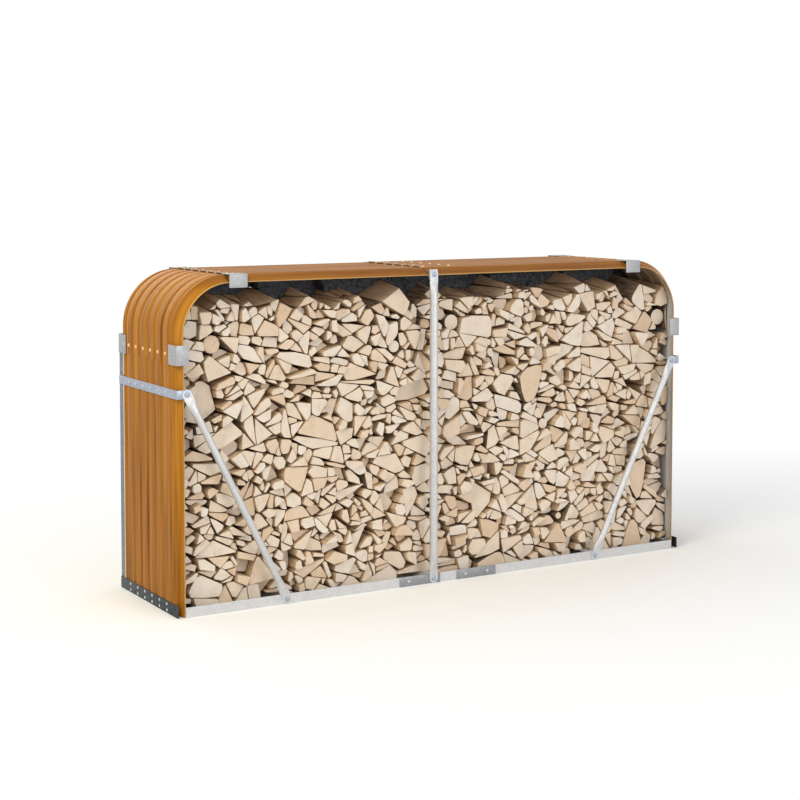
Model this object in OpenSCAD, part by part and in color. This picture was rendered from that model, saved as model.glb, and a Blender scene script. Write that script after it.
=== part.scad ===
// Curved-top log store: ribbed steel sheets bent over an open frame of galvanised bars.
// Millimetres. X runs along the front, Y from front to back, Z up.
// The origin is on the ground, midway along and across the store.

/* [Shell] */
// Width across the outer faces of the side sheets
shell_w = 2600; // [2000:10:3400]
// Depth from the front lip to the back lip
shell_d = 630; // [520:10:960]
// Height of the lowest roof layer above the ground
shell_h = 1395; // [1200:5:2000]
// Outer radius of the two bent corner sheets
corner_r = 240; // [160:5:320]
// Thickness of the ribbed sheets
sheet_t = 1.2; // [0.6:0.1:2]
// How far the lip along each open edge turns inwards
lip_in = 30; // [12:1:40]
// How much of the depth the sloping lip takes up
lip_run = 46; // [30:1:60]

/* [Ribs] */
// Distance from one groove to the next
groove_pitch = 80; // [60:1:100]
// Width of a groove at its mouth
groove_mouth = 24; // [12:1:36]
// Width of a groove at its floor
groove_floor = 10; // [4:1:11]
// Depth of a groove
groove_depth = 7; // [3:0.5:12]

/* [Sheet joints] */
// Length of the straight tail under each bent corner
corner_tail = 115; // [90:1:160]
// Length of the straight top past each bent corner
corner_top = 70; // [50:1:120]
// Overlap of two sheets at the side and corner joints
sheet_lap = 72; // [40:1:80]
// Overlap of the two roof sheets
roof_lap = 204; // [120:2:300]

/* [Bars] */
// Thickness of the galvanised flat bars
bar_t = 3; // [2:0.5:5]
// Height of the rails along the ground
rail_h = 42; // [30:1:60]
// Height of the foot strip on each side
foot_h = 50; // [40:1:80]
// Height of the band round each side
band_h = 37; // [24:1:50]
// Height of the middle of the band above the ground
band_z = 917; // [700:1:980]
// How far the band reaches round the front and back
band_reach = 66; // [50:1:120]
// Width of the strip down each back edge
edge_strip_w = 38; // [20:1:40]
// Height of the floor bars that carry the logs
floor_bar_h = 38; // [30:1:60]
// Width of the flange of a rail or floor bar
flange_w = 40; // [25:1:60]

/* [Clips] */
// Length of a clip along the edge of the sheets
clip_len = 82; // [60:1:120]
// Reach of a clip over the sheet
clip_back = 81; // [60:1:120]
// Reach of a clip down across the lip
clip_face = 54; // [36:1:70]
// Thickness of a clip
clip_t = 2; // [1.5:0.5:4]

/* [Tubes] */
// Outer diameter of the braces
tube_d = 30; // [20:1:40]
// Outer diameter of the posts
post_d = 36; // [20:1:40]
// Wall of the posts and braces
tube_wall = 2; // [1.5:0.5:4]
// Width of the flattened ends of the tubes
tab_w = 42; // [30:1:50]
// Length of the flattened ends of the tubes
tab_len = 78; // [60:1:120]
// Thickness of the flattened ends of the tubes
tab_t = 4; // [3:0.5:6]
// Place of the posts along the store
post_x = -85; // [-400:5:400]
// Distance of the foot of each brace from the middle
brace_foot_x = 807; // [600:1:900]
// Depth of the post bolt under the roof
post_bolt_drop = 24; // [22:1:60]

/* [Rail splices] */
// Length of a splice plate
splice_len = 208; // [120:2:260]
// Distance from the post to the middle of the plate that runs behind it
left_splice_offset = 68; // [50:1:90]
// Distance from the post to the middle of the other plate
right_splice_offset = 228; // [160:1:300]

/* [Fastenings] */
// Diameter of a screw head
screw_d = 13; // [8:1:16]
// Height of a screw head
screw_h = 3; // [2:0.5:5]
// Width of a bolt head across its flats
bolt_w = 16; // [10:1:20]
// Height of a bolt head
bolt_h = 5; // [3:0.5:8]

/* [Firewood] */
// Length of the split logs
log_len = 500; // [250:10:520]
// Height of the stack under the middle of the roof
stack_h = 1305; // [600:5:1340]

/* [Hidden] */

sheet_color = [0.66, 0.42, 0.16];
zinc_color = [0.80, 0.80, 0.82];
dark_zinc_color = [0.42, 0.45, 0.50];
wood_color = [0.82, 0.72, 0.58];

half_w = shell_w / 2;
half_d = shell_d / 2;
arc_x = half_w - corner_r;              // middle of the bend, across
arc_z = shell_h - corner_r;             // middle of the bend, up

// The sheets lap like shingles from left to right, each a layer further out.
layer_left_side = 0;
layer_left_corner = 1;
layer_left_roof = 2;
layer_right_roof = 3;
layer_right_corner = 4;
layer_right_side = 3;

// Ribs are laid out from the middle of the depth outwards.
least_edge_flat = 8;
side_grooves = floor((half_d - lip_run - groove_mouth / 2 - least_edge_flat) / groove_pitch);
groove_places = [for (i = [-side_grooves : side_grooves]) i * groove_pitch];
flat_places = [for (i = [-side_grooves : side_grooves - 1]) (i + 0.5) * groove_pitch];

side_sheet_bottom = 2;
side_sheet_top = arc_z - corner_tail + sheet_lap;
roof_end = arc_x - 2;                   // outer end of each roof sheet
side_joint_z = side_sheet_top - sheet_lap / 2;
roof_joint_x = roof_end - (roof_end - arc_x + corner_top) / 2;

bar_face_y = half_d + bar_t;            // front of the rails, bands and bar ends
tab_face_y = bar_face_y + tab_t;
post_face_y = tab_face_y + bar_t;       // front of the post, bolted on through a splice plate
inner_face_x = half_w - sheet_t - groove_depth;
rail_end_x = half_w - lip_in - 1;
rail_mid_z = rail_h / 2;
brace_top_x = half_w + bar_t - band_reach + tab_w / 2;
post_bolt_z = shell_h - post_bolt_drop;
roof_underside = shell_h + (layer_left_roof - 1) * sheet_t - groove_depth;
tab_round = tab_w / 2;
foot_bolt_z = max(rail_mid_z, tab_round);
left_splice_x = post_x - left_splice_offset;
right_splice_x = post_x + right_splice_offset;
ring_fn = 96;
tube_fn = 48;

// Outer line of a sheet across the depth: [place, height over the flats]
function groove_line(y) = [
    [y - groove_mouth / 2, 0], [y - groove_floor / 2, -groove_depth],
    [y + groove_floor / 2, -groove_depth], [y + groove_mouth / 2, 0]];
sheet_line = concat(
    [[-half_d, -lip_in], [-half_d + lip_run, 0]],
    [for (y = groove_places) for (p = groove_line(y)) p],
    [[half_d - lip_run, 0], [half_d, -lip_in]]);

function backwards(list) = [for (i = [len(list) - 1 : -1 : 0]) list[i]];

// Section of a sheet, first number across the depth, second one outwards
module sheet_section(outer) {
    polygon(concat(
        [for (p = sheet_line) [p[0], p[1] + outer]],
        [for (p = backwards(sheet_line)) [p[0], p[1] + outer - sheet_t]]));
}

// The same section with the outward number first, for bends about Z
module bend_section(outer) {
    polygon(concat(
        [for (p = sheet_line) [p[1] + outer, p[0]]],
        [for (p = backwards(sheet_line)) [p[1] + outer - sheet_t, p[0]]]));
}

// Ribbed sheet standing on the right side, between two heights
module standing_sheet(layer, low, high) {
    translate([0, 0, low])
        linear_extrude(height = high - low)
            bend_section(half_w + layer * sheet_t);
}

// Ribbed sheet lying on the roof, between two places along X
module lying_sheet(layer, from, to) {
    translate([from, 0, 0])
        rotate([90, 0, 90])
            linear_extrude(height = to - from)
                sheet_section(shell_h + layer * sheet_t);
}

// Bent sheet of the right corner with its straight tail and top
module corner_sheet(layer) {
    union() {
        standing_sheet(layer, arc_z - corner_tail, arc_z);
        translate([arc_x, 0, arc_z])
            rotate([90, 0, 0])
                rotate_extrude(angle = 90, $fn = ring_fn)
                    bend_section(corner_r + layer * sheet_t);
        lying_sheet(layer, arc_x - corner_top, arc_x);
    }
}

module left_side_sheet() {
    color(sheet_color)
        mirror([1, 0, 0])
            standing_sheet(layer_left_side, side_sheet_bottom, side_sheet_top);
}

module right_side_sheet() {
    color(sheet_color)
        standing_sheet(layer_right_side, side_sheet_bottom, side_sheet_top);
}

module left_corner_sheet() {
    color(sheet_color)
        mirror([1, 0, 0])
            corner_sheet(layer_left_corner);
}

module right_corner_sheet() {
    color(sheet_color)
        corner_sheet(layer_right_corner);
}

module left_roof_sheet() {
    color(sheet_color)
        lying_sheet(layer_left_roof, -roof_end, roof_lap / 2);
}

module right_roof_sheet() {
    color(sheet_color)
        lying_sheet(layer_right_roof, -roof_lap / 2, roof_end);
}

// Screw head standing on a face that looks along +Z
module screw_head() {
    cylinder(h = screw_h, d = screw_d, $fn = 24);
}

// Hexagon bolt head standing on a face that looks along +Z
module bolt_head() {
    cylinder(h = bolt_h, d = bolt_w / cos(30), $fn = 6);
}

// Turns a head so that it looks towards the front
module facing_front() {
    rotate([90, 0, 0])
        children();
}

// Angle bar along the front, upright face forwards and flange on the ground
module rail(from, to) {
    color(zinc_color)
        translate([from, 0, 0])
            rotate([90, 0, 90])
                linear_extrude(height = to - from)
                    polygon([
                        [-bar_face_y, 0], [-bar_face_y + flange_w, 0], [-bar_face_y + flange_w, bar_t],
                        [-half_d, bar_t], [-half_d, rail_h], [-bar_face_y, rail_h]]);
}

module to_back() {
    mirror([0, 1, 0])
        children();
}

module to_left() {
    mirror([1, 0, 0])
        children();
}

module front_left_rail() {
    rail(-rail_end_x, left_splice_x);
}

module front_middle_rail() {
    rail(left_splice_x, right_splice_x);
}

module front_right_rail() {
    rail(right_splice_x, rail_end_x);
}

module back_left_rail() {
    to_back() front_left_rail();
}

module back_middle_rail() {
    to_back() front_middle_rail();
}

module back_right_rail() {
    to_back() front_right_rail();
}

// Plate over the butt joint of two rails. A screw sits near each end that the post leaves clear.
module splice(x) {
    screw_inset = 46;
    color(dark_zinc_color) {
        translate([x - splice_len / 2, -bar_face_y - bar_t, 0])
            cube([splice_len, bar_t, rail_h]);
        for (side = [-1, 1]) {
            screw_x = x + side * (splice_len / 2 - screw_inset);
            if (abs(screw_x - post_x) > tab_round + screw_d / 2)
                translate([screw_x, -bar_face_y - bar_t, rail_mid_z])
                    facing_front() screw_head();
        }
    }
}

module front_left_splice() {
    splice(left_splice_x);
}

module front_right_splice() {
    splice(right_splice_x);
}

module back_left_splice() {
    to_back() front_left_splice();
}

module back_right_splice() {
    to_back() front_right_splice();
}

// Flattened end of a tube, its bolt at the origin and the tube along +Z
module tube_end() {
    translate([0, tab_t, 0])
        rotate([90, 0, 0])
            linear_extrude(height = tab_t)
                union() {
                    circle(r = tab_round, $fn = tube_fn);
                    translate([-tab_round, 0])
                        square([tab_w, tab_len - tab_round]);
                }
    facing_front() bolt_head();
}

// Round tube with two flattened, bolted ends, standing along +Z on its lower bolt.
// The flattened ends fill the space from Y = 0 to Y = tab_t.
module end_flattened_tube(length, diameter) {
    tube_from = tab_len - tab_round - 12;
    color(zinc_color)
        union() {
            tube_end();
            translate([0, 0, length])
                mirror([0, 0, 1])
                    tube_end();
            translate([0, tab_t / 2, tube_from])
                difference() {
                    cylinder(h = length - 2 * tube_from, d = diameter, $fn = tube_fn);
                    translate([0, 0, tab_t])
                        cylinder(h = length - 2 * tube_from - 2 * tab_t,
                                 d = diameter - 2 * tube_wall, $fn = tube_fn);
                }
        }
}

module front_post() {
    translate([post_x, -post_face_y, foot_bolt_z])
        end_flattened_tube(post_bolt_z - foot_bolt_z, post_d);
}

module back_post() {
    to_back() front_post();
}

// Brace from its foot on the rail up to the end of the band on the right
module brace() {
    run = brace_top_x - brace_foot_x;
    rise = band_z - foot_bolt_z;
    translate([brace_foot_x, -tab_face_y, foot_bolt_z])
        rotate([0, atan2(run, rise), 0])
            end_flattened_tube(norm([run, rise]), tube_d);
}

module front_left_brace() {
    to_left() brace();
}

module front_right_brace() {
    brace();
}

module back_left_brace() {
    to_left() to_back() brace();
}

module back_right_brace() {
    to_back() brace();
}

// Bar under the roof from post to post, with an upright plate behind each post bolt
module roof_bar() {
    bar_w = 40;
    plate_h = 2 * tab_round;
    outer_z = roof_underside - lip_in;
    color(zinc_color)
        translate([post_x - bar_w / 2, 0, 0])
            union() {
                rotate([90, 0, 90])
                    linear_extrude(height = bar_w)
                        polygon([
                            [-half_d, outer_z - bar_t], [-half_d + lip_run, roof_underside - bar_t],
                            [half_d - lip_run, roof_underside - bar_t], [half_d, outer_z - bar_t],
                            [half_d, outer_z], [half_d - lip_run, roof_underside],
                            [-half_d + lip_run, roof_underside], [-half_d, outer_z]]);
                for (y = [-bar_face_y - bar_t, half_d])
                    translate([0, y, post_bolt_z - plate_h / 2])
                        cube([bar_w, 2 * bar_t, plate_h]);
            }
}

// Flat band across the right side, its ends bent round to the braces
module band(layer) {
    side_x = half_w + layer * sheet_t;
    end_x = half_w + bar_t - band_reach;
    color(zinc_color) {
        translate([0, 0, band_z - band_h / 2])
            linear_extrude(height = band_h)
                polygon([
                    [end_x, -bar_face_y], [side_x + bar_t, -bar_face_y],
                    [side_x + bar_t, bar_face_y], [end_x, bar_face_y],
                    [end_x, half_d], [side_x, half_d],
                    [side_x, -half_d], [end_x, -half_d]]);
        for (y = flat_places)
            translate([side_x + bar_t, y, band_z])
                rotate([0, 90, 0])
                    screw_head();
    }
}

module left_band() {
    to_left() band(layer_left_side);
}

module right_band() {
    band(layer_right_side);
}

// Strip along the foot of the right side, with two rows of screws
module foot_strip(layer) {
    side_x = half_w + layer * sheet_t;
    row_inset = 12;
    color(dark_zinc_color) {
        translate([side_x, -half_d, 0])
            cube([bar_t, shell_d, foot_h]);
        for (y = flat_places)
            for (z = [row_inset, foot_h - row_inset])
                translate([side_x + bar_t, y, z])
                    rotate([0, 90, 0])
                        screw_head();
    }
}

module left_foot_strip() {
    to_left() foot_strip(layer_left_side);
}

module right_foot_strip() {
    foot_strip(layer_right_side);
}

// Flat strip down the back edge of the right side, inside the band and foot strip
module edge_strip(layer) {
    strip_t = 1.5;
    side_x = half_w + layer * sheet_t;
    strip_top = side_joint_z - clip_len / 2 - 1;
    color(zinc_color)
        translate([side_x - strip_t, half_d - edge_strip_w, side_sheet_bottom])
            cube([strip_t, edge_strip_w, strip_top - side_sheet_bottom]);
}

module left_edge_strip() {
    to_left() edge_strip(layer_left_side);
}

module right_edge_strip() {
    edge_strip(layer_right_side);
}

// Angle clip over the front edge of the roof, centred on the joint of two sheets
module roof_clip(x, layer) {
    top_z = shell_h + layer * sheet_t;
    screw_back = 58;
    color(zinc_color) {
        translate([x - clip_len / 2, 0, 0])
            rotate([90, 0, 90])
                linear_extrude(height = clip_len)
                    polygon([
                        [-half_d - clip_t, top_z - clip_face], [-half_d, top_z - clip_face],
                        [-half_d, top_z], [-half_d + clip_back, top_z],
                        [-half_d + clip_back, top_z + clip_t], [-half_d - clip_t, top_z + clip_t]]);
        translate([x, -half_d + screw_back, top_z + clip_t])
            screw_head();
    }
}

// Angle clip round the front edge of the right side, centred on the joint of two sheets
module side_clip(layer) {
    side_x = half_w + layer * sheet_t;
    screw_back = 58;
    color(zinc_color) {
        translate([0, 0, side_joint_z - clip_len / 2])
            linear_extrude(height = clip_len)
                polygon([
                    [side_x - clip_face, -half_d - clip_t], [side_x + clip_t, -half_d - clip_t],
                    [side_x + clip_t, -half_d + clip_back], [side_x, -half_d + clip_back],
                    [side_x, -half_d], [side_x - clip_face, -half_d]]);
        translate([side_x + clip_t, -half_d + screw_back, side_joint_z])
            rotate([0, 90, 0])
                screw_head();
    }
}

module front_left_side_clip() {
    to_left() side_clip(layer_left_corner);
}

module front_left_roof_clip() {
    roof_clip(-roof_joint_x, layer_left_roof);
}

module front_right_roof_clip() {
    roof_clip(roof_joint_x, layer_right_corner);
}

module front_right_side_clip() {
    side_clip(layer_right_corner);
}

module back_left_side_clip() {
    to_back() front_left_side_clip();
}

module back_left_roof_clip() {
    to_back() front_left_roof_clip();
}

module back_right_roof_clip() {
    to_back() front_right_roof_clip();
}

module back_right_side_clip() {
    to_back() front_right_side_clip();
}

// Angle bar from the front rail to the back rail, flange on top; face marks its upright side
module floor_bar(face, turn) {
    color(zinc_color)
        translate([face, half_d, 0])
            rotate([90, 0, 0])
                linear_extrude(height = shell_d)
                    polygon([
                        [0, bar_t], [turn * bar_t, bar_t], [turn * bar_t, floor_bar_h - bar_t],
                        [turn * flange_w, floor_bar_h - bar_t], [turn * flange_w, floor_bar_h],
                        [0, floor_bar_h]]);
}

// Angle bar along the foot of a side, screwed through the sheet to the foot strip
module end_floor_bar(layer) {
    side_x = inner_face_x + layer * sheet_t;
    length = shell_d - 2 * lip_run;
    color(zinc_color)
        translate([side_x, length / 2, 0])
            rotate([90, 0, 0])
                linear_extrude(height = length)
                    polygon([
                        [0, bar_t], [-bar_t, bar_t], [-bar_t, floor_bar_h - bar_t],
                        [-flange_w, floor_bar_h - bar_t], [-flange_w, floor_bar_h], [0, floor_bar_h]]);
}

module left_end_floor_bar() {
    to_left() end_floor_bar(layer_left_side);
}

module right_end_floor_bar() {
    end_floor_bar(layer_right_side);
}

module left_floor_bar() {
    floor_bar(-brace_foot_x, 1);
}

module middle_floor_bar() {
    floor_bar(post_x - flange_w / 2, 1);
}

module right_floor_bar() {
    floor_bar(brace_foot_x, -1);
}

// Half of the stacked firewood, from the post outwards to one side
module firewood(sign, wall) {
    inside = post_x * sign;
    shoulder_z = arc_z - 10;
    color(wood_color)
        translate([0, log_len / 2, 0])
            rotate([90, 0, 0])
                linear_extrude(height = log_len)
                    polygon([for (p = [
                        [inside, floor_bar_h], [wall, floor_bar_h], [wall, shoulder_z],
                        [wall - 0.25 * corner_r, min(stack_h, arc_z + 0.38 * corner_r)],
                        [wall - 0.75 * corner_r, min(stack_h, arc_z + 0.60 * corner_r)],
                        [wall - 1.5 * corner_r, stack_h - 12], [wall - 2.4 * corner_r, stack_h],
                        [inside + 1.6 * corner_r, stack_h - 30], [inside + 0.8 * corner_r, stack_h + 5],
                        [inside, stack_h - 8]]) [p[0] * sign, p[1]]]);
}

module left_firewood() {
    firewood(-1, inner_face_x);
}

module right_firewood() {
    firewood(1, inner_face_x + layer_right_side * sheet_t);
}

left_side_sheet();
left_corner_sheet();
left_roof_sheet();
right_roof_sheet();
right_corner_sheet();
right_side_sheet();
front_left_rail();
front_middle_rail();
front_right_rail();
back_left_rail();
back_middle_rail();
back_right_rail();
front_left_splice();
front_right_splice();
back_left_splice();
back_right_splice();
front_post();
back_post();
roof_bar();
front_left_brace();
front_right_brace();
back_left_brace();
back_right_brace();
left_band();
right_band();
left_foot_strip();
right_foot_strip();
left_edge_strip();
right_edge_strip();
front_left_side_clip();
front_left_roof_clip();
front_right_roof_clip();
front_right_side_clip();
back_left_side_clip();
back_left_roof_clip();
back_right_roof_clip();
back_right_side_clip();
left_end_floor_bar();
left_floor_bar();
middle_floor_bar();
right_floor_bar();
right_end_floor_bar();
left_firewood();
right_firewood();
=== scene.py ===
"""Curved-top log store: finish, folded sheets, tubes, fastenings and stacked firewood round the steel frame.

Metres. X runs along the front, Y from front to back, Z up, the origin on the ground in the middle.
"""
import math
import random

import bmesh
import bpy
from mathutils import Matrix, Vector


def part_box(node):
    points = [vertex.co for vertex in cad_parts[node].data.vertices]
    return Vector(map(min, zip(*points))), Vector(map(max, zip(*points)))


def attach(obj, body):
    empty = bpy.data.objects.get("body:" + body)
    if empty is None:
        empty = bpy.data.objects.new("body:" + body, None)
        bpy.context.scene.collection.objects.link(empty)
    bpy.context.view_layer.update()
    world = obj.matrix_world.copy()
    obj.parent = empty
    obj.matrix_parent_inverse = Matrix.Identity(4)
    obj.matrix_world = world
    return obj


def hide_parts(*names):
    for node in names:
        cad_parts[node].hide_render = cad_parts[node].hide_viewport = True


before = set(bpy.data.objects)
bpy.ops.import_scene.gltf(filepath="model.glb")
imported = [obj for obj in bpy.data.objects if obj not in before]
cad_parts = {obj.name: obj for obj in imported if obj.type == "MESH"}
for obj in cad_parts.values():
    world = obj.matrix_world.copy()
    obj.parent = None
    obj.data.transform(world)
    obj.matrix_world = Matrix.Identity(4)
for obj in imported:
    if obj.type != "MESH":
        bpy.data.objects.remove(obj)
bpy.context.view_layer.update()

near = 0.0001
touching = 0.00001

# -------- sizes from the frame

half_w = -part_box("left_side_sheet")[0].x
half_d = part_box("left_side_sheet")[1].y
left_corner_low, left_corner_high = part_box("left_corner_sheet")
sheet_t = -left_corner_low.x - half_w
shell_h = left_corner_high.z - sheet_t
bar_t = 0.003

# -------- sizes of the shell

corner_r = 0.240
arc_x = half_w - corner_r
arc_z = shell_h - corner_r
lip_in = 0.030
lip_run = 0.046
groove_pitch = 0.080
groove_mouth = 0.024
groove_floor = 0.010
groove_depth = 0.007
groove_count = 7
fold_round = 0.0025
hem_fold = 0.0028
hem_w = 0.010
corner_steps = 24
lap_lift = 0.0030
lap_hem = 0.0012
lap_w = 0.012
lap_row_inset = 0.035
# Width of the painted shadow and soiling line beside a lapping sheet's end.
lap_shadow_and_grime_w = 0.016
groove_places = [(i - (groove_count - 1) / 2) * groove_pitch for i in range(groove_count)]
flat_places = [(a + b) / 2 for a, b in zip(groove_places, groove_places[1:])]

side_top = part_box("left_side_sheet")[1].z
side_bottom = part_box("left_side_sheet")[0].z
side_joint_z = (side_top + left_corner_low.z) / 2
roof_end = -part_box("left_roof_sheet")[0].x
corner_end = -left_corner_high.x
roof_joint_x = (roof_end + corner_end) / 2
roof_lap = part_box("left_roof_sheet")[1].x

# Layers of the sheets, counted outwards: they lap like shingles from left to right
layer_left_side, layer_left_corner, layer_left_roof = 0, 1, 2
layer_right_roof, layer_right_corner, layer_right_side = 3, 4, 3

# -------- sizes of the ironwork

clip_len = 0.082
clip_back = 0.081
clip_face = 0.054
clip_t = 0.002
clip_screw_back = 0.058
band_h = 0.037
band_reach = 0.066
foot_row_inset = 0.012
splice_inset = 0.046
brace_r = 0.015
post_r = 0.018
tab_r = 0.021
tab_t = 0.004
tab_flat = 0.036
tab_taper = 0.064
bar_face_y = half_d + bar_t
brace_foot_x = 0.807
brace_top_x = half_w + bar_t - band_reach + tab_r
post_x = -0.085
post_head_inset = 0.024
faces = ((-1, "front"), (1, "back"))

# -------- small tools


def begin(piece=None):
    """Goes back to object mode, with nothing selected but the given piece."""
    if bpy.context.object and bpy.context.object.mode != "OBJECT":
        bpy.ops.object.mode_set(mode="OBJECT")
    bpy.ops.object.select_all(action="DESELECT")
    if piece:
        piece.select_set(True)
        bpy.context.view_layer.objects.active = piece
    return piece


def settle(piece):
    """Puts the piece's place, turn and scale into its mesh."""
    begin(piece)
    bpy.ops.object.transform_apply(location=True, rotation=True, scale=True)
    return piece


def edit(piece):
    """Goes into edit mode with nothing picked."""
    begin(piece)
    bpy.ops.object.mode_set(mode="EDIT")
    bpy.ops.mesh.select_all(action="DESELECT")


def pick(piece, kind, wanted):
    """In edit mode, selects just the vertices, edges or faces for which wanted is true."""
    bpy.context.tool_settings.mesh_select_mode = (kind == "verts", kind == "edges", kind == "faces")
    bpy.ops.mesh.select_all(action="DESELECT")
    mesh = bmesh.from_edit_mesh(piece.data)
    for part in getattr(mesh, kind):
        if wanted(part):
            part.select_set(True)
    bmesh.update_edit_mesh(piece.data)


def plane(name, low, high):
    """A plane between two corners at one height."""
    begin()
    middle = [(a + b) / 2 for a, b in zip(low, high)]
    bpy.ops.mesh.primitive_plane_add(size=1, location=middle)
    piece = bpy.context.object
    piece.name = name
    piece.scale = (high[0] - low[0], high[1] - low[1], 1)
    return settle(piece)


def modify(piece, kind, **values):
    """Adds a modifier, sets it up and applies it."""
    begin(piece)
    modifier = piece.modifiers.new(kind.lower(), kind)
    for name, value in values.items():
        setattr(modifier, name, value)
    bpy.ops.object.modifier_apply(modifier=modifier.name)


def draw_out(x=0, y=0, z=0):
    """Extrudes the picked edges that far."""
    bpy.ops.mesh.extrude_edges_move(TRANSFORM_OT_translate={"value": (x, y, z)})


def coat(piece, *materials):
    for material in materials:
        piece.data.materials.append(material)


def join(pieces, name):
    """Joins the pieces into the first one."""
    begin(pieces[0])
    for piece in pieces:
        piece.select_set(True)
    if len(pieces) > 1:
        bpy.ops.object.join()
    pieces[0].name = name
    return pieces[0]


def copies(model, places, turn=(0, 0, 0)):
    """Copies a model, each copy with its own mesh, to each place, turned the same way."""
    made = []
    for place in places:
        begin(model)
        bpy.ops.object.duplicate(linked=False)
        piece = bpy.context.object
        piece.rotation_euler = turn
        piece.location = place
        made.append(settle(piece))
    return made


def to_side(piece, side):
    """Turns a piece made lying on the roof so that its top looks outwards on that side."""
    piece.rotation_euler = (0, side * math.pi / 2, 0)
    return settle(piece)


def face_out(piece):
    """Makes all the faces agree; those of a closed piece look outwards."""
    edit(piece)
    bpy.ops.mesh.select_all(action="SELECT")
    bpy.ops.mesh.normals_make_consistent(inside=False)
    begin(piece)


def outwards(piece, outward):
    """Makes the faces of an open sheet agree, with its largest one looking outwards."""
    face_out(piece)
    lead = max(piece.data.polygons, key=lambda face: face.area)
    if outward(lead.center).dot(lead.normal) < 0:
        edit(piece)
        bpy.ops.mesh.select_all(action="SELECT")
        bpy.ops.mesh.flip_normals()
        begin(piece)


def smooth(piece, degrees=35):
    begin(piece)
    bpy.ops.object.shade_smooth_by_angle(angle=math.radians(degrees))


def finish_piece(piece, slot, *nodes):
    """Fixes a finished piece to the frame in place of its nodes."""
    begin(piece)
    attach(piece, "root")
    if nodes:
        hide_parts(*nodes)


# -------- finishes


class Finish:
    """A material in the making: adds shader nodes and joins them up."""

    def __init__(self, name):
        self.material = bpy.data.materials.new(name)
        self.material.use_nodes = True
        self.tree = self.material.node_tree
        self.shader = self.tree.nodes["Principled BSDF"]
        self.place = self.add("ShaderNodeTexCoord").outputs["Object"]

    def add(self, kind, inputs=(), **values):
        node = self.tree.nodes.new(kind)
        for name, value in values.items():
            setattr(node, name, value)
        for key, value in dict(inputs).items():
            if isinstance(value, bpy.types.NodeSocket):
                self.tree.links.new(value, node.inputs[key])
            else:
                node.inputs[key].default_value = value
        return node

    def maths(self, operation, first, second=0.0):
        return self.add("ShaderNodeMath", {0: first, 1: second}, operation=operation).outputs[0]

    def times(self, first, second):
        return self.maths("MULTIPLY", first, second)

    def shared(self, first, second, share):
        """Sum of two factors, the first with the given share and the second with the rest."""
        return self.maths("ADD", self.times(first, share), self.times(second, 1 - share))

    def axis(self, vector, name):
        return self.add("ShaderNodeSeparateXYZ", {0: vector}).outputs[name]

    def stretch(self, vector, scale):
        return self.add("ShaderNodeMapping", {"Vector": vector, "Scale": scale}).outputs[0]

    def noise(self, vector, scale, detail=3.0, distortion=0.0):
        inputs = {"Vector": vector, "Scale": scale, "Detail": detail, "Distortion": distortion}
        return self.add("ShaderNodeTexNoise", inputs).outputs["Fac"]

    def ramp(self, factor, *stops):
        """Colours by the factor; each stop is (position, colour)."""
        node = self.add("ShaderNodeValToRGB", {"Fac": factor})
        steps = node.color_ramp.elements
        while len(steps) < len(stops):
            steps.new(0.5)
        for step, (position, colour) in zip(steps, stops):
            step.position = position
            step.color = (*colour, 1)
        return node.outputs["Color"]

    def level(self, factor, low, high, from_low=0.0, from_high=1.0):
        """Spreads a factor over a range, clamped at both ends."""
        inputs = {"Value": factor, "From Min": from_low, "From Max": from_high,
                  "To Min": low, "To Max": high}
        return self.add("ShaderNodeMapRange", inputs).outputs["Result"]

    def blend(self, factor, first, second, how="MIX"):
        node = self.add("ShaderNodeMix", data_type="RGBA", blend_type=how)
        for socket, value in ((0, factor), (6, first), (7, second)):
            if isinstance(value, bpy.types.NodeSocket):
                self.tree.links.new(value, node.inputs[socket])
            else:
                node.inputs[socket].default_value = value if socket == 0 else (*value, 1)
        return node.outputs[2]

    def attribute(self, name, kind="Fac"):
        return self.add("ShaderNodeAttribute", attribute_name=name).outputs[kind]

    def set(self, **values):
        """Sets or joins sockets of the surface shader; underscores stand for spaces."""
        for name, value in values.items():
            socket = self.shader.inputs[name.replace("_", " ")]
            if isinstance(value, bpy.types.NodeSocket):
                self.tree.links.new(value, socket)
            else:
                socket.default_value = value
        return self.material

    def bump(self, height, distance, strength=1.0):
        node = self.add("ShaderNodeBump", {"Height": height, "Distance": distance, "Strength": strength})
        self.tree.links.new(node.outputs["Normal"], self.shader.inputs["Normal"])


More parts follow.
